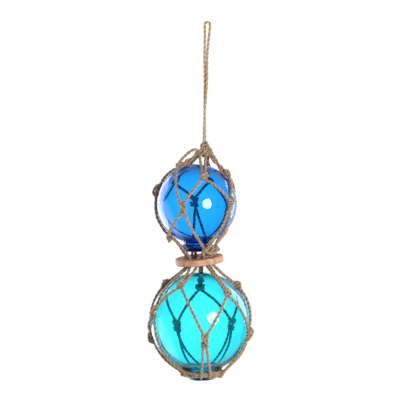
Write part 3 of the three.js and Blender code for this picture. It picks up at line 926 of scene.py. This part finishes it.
def makeFuzz():
    bench, setup = Bench(bpy.data.materials.new("loose_fibre")), fuzzFinish
    change = bench.noise(bench.where(), 320, 2)
    colour = bench.put("ValToRGB", {"stops": [(0.3, setup["dark"]), (0.7, setup["light"])]},
                       {"Fac": change}, "Color")
    return bench.finish(bench.principled({
        "Base Color": colour, "Roughness": setup["rough"], "Specular IOR Level": 0.2,
    }))


glassFinishes = {
    "blue_glass": {"tint": (0.93, 0.97, 1.0), "absorb": (0.045, 0.762, 0.957), "density": 545,
                   "wave": 0.00003},
    "aqua_glass": {"tint": (0.95, 1.0, 1.0), "absorb": (0.19, 0.906, 0.948), "density": 460,
                   "wave": 0.00003},
}


def makeGlass(name):
    bench, setup = Bench(bpy.data.materials.new(name)), glassFinishes[name]
    bump = bench.bump(bench.noise(bench.where(), 22, 1, 0.4), 1.0, setup["wave"])
    shader = bench.principled({
        "Base Color": (*setup["tint"], 1), "Roughness": 0.015, "IOR": 1.5, "Transmission Weight": 1.0,
        "Specular IOR Level": 0.9, "Normal": bump,
    })
    volume = bench.put("VolumeAbsorption", None, {"Color": (*setup["absorb"], 1),
                                                  "Density": setup["density"]}, "Volume")
    return bench.finish(shader, volume)


woodFinish = {
    "dark": (0.24, 0.105, 0.052),
    "middle": (0.40, 0.20, 0.11),
    "light": (0.53, 0.305, 0.185),
    "noises": [  # bends, grain and pores
        ((12, 30, 30), 1.0, 2),
        ((28, 420, 420), 1.0, 4, 0.6),
        ((160, 1500, 1500), 1.0, 2, 0.5),
    ],
    "bands": (3, 55, 30),
}


def makeWood():
    bench, setup = Bench(bpy.data.materials.new("ring_wood")), woodFinish
    local = bench.put("Mapping", {"vector_type": "TEXTURE"}, {
        "Vector": bench.where(),
        "Location": Vector(ringSetup["centre"]) * mm,
        "Rotation": ringPlace.to_3x3().to_euler(),
    })
    bent, grain, pores = bench.noises(local, setup["noises"])
    rings = bench.put("TexWave", {"wave_type": "BANDS", "bands_direction": "Y"}, {
        "Vector": bench.scaled(local, setup["bands"]), "Scale": 1.2, "Distortion": 5.0, "Detail": 2.0,
    }, "Fac")
    mix = grain * 0.5 + rings * 0.22 + bent * 0.3
    colour = bench.put("ValToRGB", {"stops": [(0.28, setup["dark"]), (0.5, setup["middle"]),
                                              (0.74, setup["light"])]}, {"Fac": mix}, "Color")
    pits = bench.spread(pores, 0.36, 0.46, 1, 0)
    colour = bench.blend(pits * 0.4, colour, (*setup["dark"], 1))
    bump = bench.bump(grain - pits * 0.6, 0.6, 0.0002)
    rough = bench.spread(grain, 0.3, 0.7, 0.62, 0.5)
    return bench.finish(bench.principled({"Base Color": colour, "Roughness": rough, "Normal": bump}))


def dress(piece, material):
    piece.data.materials.clear()
    piece.data.materials.append(material)


jute, fuzz = makeJute(), makeFuzz()
for piece in (loopPiece, *netPieces):
    dress(piece, jute)
for piece in (netFuzz, loopFuzz):
    dress(piece, fuzz)
dress(upperGlass, makeGlass("blue_glass"))
dress(lowerGlass, makeGlass("aqua_glass"))
dress(ringPiece, makeWood())
print("materials made")


# Studio: pale floor, white surroundings, two tall side lights, and a round soft light that comes
# twice, once for the cloth and wood and once for its reflection in the glass
studio = {
    "backdrop": 1.02,
    "throughGlass": 1.57,
    "high": 0.13,          # what shows through the glass from high up behind it
    "highLevel": (0.10, 0.34),
    "top": 1.3,            # from overhead
    "topLevel": (0.32, 0.52),
    "low": 0.60,           # and from low down
    "lowLevel": (0.24, 0.52),
    "fill": 0.70,
    "gloss": (0.12, 0.90),  # mirrored in the glass from the front and from behind
    "behind": (0.1, 0.85),
    "rear": (0, 0.2),
    "floor": -0.80,
    "floorRadius": (1.1, 1.9),  # where it starts to fade into the surroundings, and where it ends
    "floorTones": (0.88, 0.92),
    "glow": (-0.83, 0.36, -0.43),  # the way to a soft patch that the glass mirrors at its left
    "glowEdge": (0.76, 0.98),
    "glowStrength": 1.8,
    "aim": (0, 0, -0.29),
    "lights": [  # name, shape, azimuth, distance, height, size, watts, what sees it
        ("round_light", "DISK", 28.5, 0.70, -0.214, (0.355, 0.355), 5.6, "cloth"),
        ("round_glow", "DISK", 28.5, 0.68, -0.216, (0.33, 0.33), 4.8, "gloss"),
        ("left_light", "RECTANGLE", -132, 1.25, -0.28, (1.05, 1.5), 14, "both"),
        ("right_light", "RECTANGLE", 128, 1.25, -0.06, (0.5, 1.1), 6, "both"),
    ],
}


def hangLight(name, shape, azimuth, distance, height, size, watts, seenBy):
    light = bpy.data.lights.new(name, "AREA")
    light.shape, light.energy = shape, watts
    light.size, light.size_y = size
    lamp = bpy.data.objects.new(name, light)
    angle = math.radians(azimuth)
    lamp.location = (distance * math.sin(angle), -distance * math.cos(angle), height)
    aim = Vector(studio["aim"]) - lamp.location
    lamp.rotation_euler = aim.to_track_quat("-Z", "Y").to_euler()
    lamp.visible_camera = lamp.visible_transmission = False
    lamp.visible_diffuse, lamp.visible_glossy = seenBy != "gloss", seenBy != "cloth"
    bpy.context.collection.objects.link(lamp)


for entry in studio["lights"]:
    hangLight(*entry)
world = bpy.data.worlds.new("surroundings")
bpy.context.scene.world = world
sky = Bench(world)
seenRay = sky.put("LightPath", None, None, "Is Camera Ray")
rays = seenRay.socket.node.outputs
through = Wire(sky, rays["Is Transmission Ray"])
glossy = Wire(sky, rays["Is Glossy Ray"]) * (1 - through)
way = sky.put("TexCoord", None, None, "Generated")
height = sky.put("SeparateXYZ", None, {"Vector": way}, "Z")
depth = Wire(sky, height.socket.node.outputs["Y"])
rising = height * sky.spread(depth, *studio["rear"])
overhead = sky.spread(rising, *studio["topLevel"], 0, studio["top"])
highUp = sky.spread(rising, *studio["highLevel"], studio["throughGlass"], studio["high"])
upward = sky.maths("MAXIMUM", overhead, highUp)
downward = sky.spread(0 - rising, *studio["lowLevel"], studio["throughGlass"], studio["low"])
steep = sky.maths("MINIMUM", upward, downward)
facing = sky.put("VectorMath", {"operation": "DOT_PRODUCT"}, {"Vector": way}, "Value")
facing.socket.node.inputs[1].default_value = Vector(studio["glow"]).normalized()
patch = sky.put("MapRange", {"interpolation_type": "SMOOTHERSTEP"}, {
    "Value": facing, "From Min": studio["glowEdge"][0], "From Max": studio["glowEdge"][1],
    "To Max": studio["glowStrength"]})
mirrored = patch + sky.spread(depth, *studio["behind"], *studio["gloss"])
strength = (seenRay * (studio["backdrop"] - studio["fill"]) + studio["fill"]
            + through * (steep - studio["fill"]) + glossy * (mirrored - studio["fill"]))
background = sky.put("Background", None, {"Color": (1, 1, 1, 1), "Strength": strength})
sky.put("OutputWorld", None, {"Surface": background})

floorForm = bmesh.new()
bmesh.ops.create_circle(floorForm, cap_ends=True, radius=studio["floorRadius"][1], segments=64,
                        matrix=Matrix.Translation((0, 0, studio["floor"])))
studioFloor = showForm(floorForm, "studio_floor")
studioFloor.visible_transmission = studioFloor.visible_glossy = False
floorBench = Bench(bpy.data.materials.new("pale_floor"))
floorWhere = floorBench.scaled(floorBench.where(), (1, 1, 0))
floorStops = [(place, (tone, tone, tone)) for place, tone in zip((0.3, 0.7), studio["floorTones"])]
floorColour = floorBench.put("ValToRGB", {"stops": floorStops},
                             {"Fac": floorBench.noise(floorWhere, 3)}, "Color")
floorReach = floorBench.put("VectorMath", {"operation": "LENGTH"}, {"Vector": floorWhere}, "Value")
floorShader = floorBench.principled({
    "Base Color": floorColour, "Roughness": 0.8, "Emission Color": (1, 1, 1, 1),
    "Emission Strength": 0.2})
clearAway = floorBench.put("BsdfTransparent", None, None, "BSDF")
faded = floorBench.put("MixShader", None, {
    "Fac": floorBench.spread(floorReach, *studio["floorRadius"]), "Shader": floorShader})
floorBench.tree.links.new(clearAway.socket, faded.socket.node.inputs[2])
dress(studioFloor, floorBench.finish(faded))

scene = bpy.context.scene
scene.view_settings.view_transform = "Standard"
scene.cycles.max_bounces = 16
scene.cycles.transmission_bounces = 14
print("studio lit")
